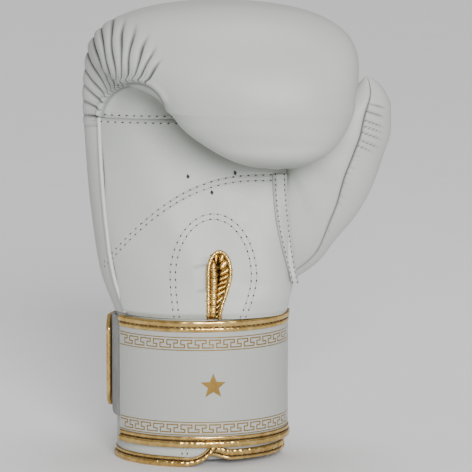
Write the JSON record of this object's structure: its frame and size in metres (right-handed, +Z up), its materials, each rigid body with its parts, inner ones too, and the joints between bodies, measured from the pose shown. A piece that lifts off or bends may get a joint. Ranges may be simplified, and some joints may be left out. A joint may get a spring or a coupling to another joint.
{
  "type": "boxing glove",
  "caption": "Right-hand boxing glove in white leather with gold edging: curled padded fist, attached thumb, bound entry slit in the palm, split cuff and wide hook-and-loop wrist strap.",
  "frame": {"origin": "middle of the outer box on the plane that the cuff's hem stands on", "axes": "+Z up from the hem to the knuckles, +X to the thumb, -Y out of the palm"},
  "size_m": [0.2002, 0.1398, 0.301],
  "materials": {
    "white_leather": "smooth white leather with a soft sheen",
    "gold_leather": "metallic gold coated leather, fine creases",
    "grey_elastic": "grey woven elastic",
    "hook_and_loop": "fuzzy grey loop and hook tape",
    "lining_cloth": "plain woven lining",
    "padding_foam": "closed-cell foam, matt"
  },
  "bodies": {
    "glove": {"striking_cover": "white_leather", "knuckle_foam_outer": "padding_foam", "knuckle_foam_inner": "padding_foam", "finger_underside_panel": "white_leather", "finger_foam": "padding_foam", "grip_bar": "padding_foam", "upper_palm_panel": "white_leather", "lower_palm_panel": "white_leather", "palm_foam": "padding_foam", "hand_lining": "lining_cloth", "side_piping": "white_leather", "slit_binding": "gold_leather", "slit_gusset": "gold_leather", "thumb_outer_cover": "white_leather", "thumb_inner_panel": "white_leather", "thumb_foam": "padding_foam", "thumb_lining": "lining_cloth", "thumb_seam_tape": "white_leather", "thumb_bridge": "white_leather", "cuff_back": "white_leather", "cuff_foam": "padding_foam", "cuff_lining": "lining_cloth", "cuff_gusset": "gold_leather", "hem_binding_back": "gold_leather", "loop_patch": "hook_and_loop"},
    "left_flap": {"cuff_flap_left": "white_leather", "hem_binding_left": "gold_leather"},
    "right_flap": {"cuff_flap_right": "white_leather", "hem_binding_right": "gold_leather"},
    "strap": {"strap_panel": "white_leather", "strap_backing": "hook_and_loop", "strap_top_binding": "gold_leather", "strap_bottom_binding": "gold_leather"},
    "elastic": {"strap_elastic": "grey_elastic"},
    "tab": {"strap_tab": "white_leather", "tab_binding": "gold_leather", "hook_patch": "hook_and_loop"}
  },
  "joints": [
    {"name": "strap_open", "type": "hinge", "parent": "glove", "child": "strap", "pos_m": [0.03243, 0.01202, 0], "axis": [0, 0, 1], "range_deg": [0, 45]},
    {"name": "elastic_unroll", "type": "hinge", "parent": "strap", "child": "elastic", "pos_m": [-0.07664, -0.00818, 0], "axis": [0, 0, 1], "range_deg": [0, 117]},
    {"name": "tab_peel", "type": "hinge", "parent": "elastic", "child": "tab", "pos_m": [-0.08144, 0.01052, 0], "axis": [0, 0, 1], "range_deg": [0, 90]},
    {"name": "left_flap_spread", "type": "hinge", "parent": "glove", "child": "left_flap", "pos_m": [-0.08002, 0.00729, 0], "axis": [0, 0, -1], "range_deg": [0, 16]},
    {"name": "right_flap_spread", "type": "hinge", "parent": "glove", "child": "right_flap", "pos_m": [0.03186, 0.00729, 0], "axis": [0, 0, 1], "range_deg": [0, 12]}
  ],
  "couplings": [
    {"joint": "elastic_unroll", "follows": "strap_open", "ratio": 2.6},
    {"joint": "left_flap_spread", "follows": "strap_open", "ratio": 0.35},
    {"joint": "right_flap_spread", "follows": "strap_open", "ratio": 0.25}
  ]
}
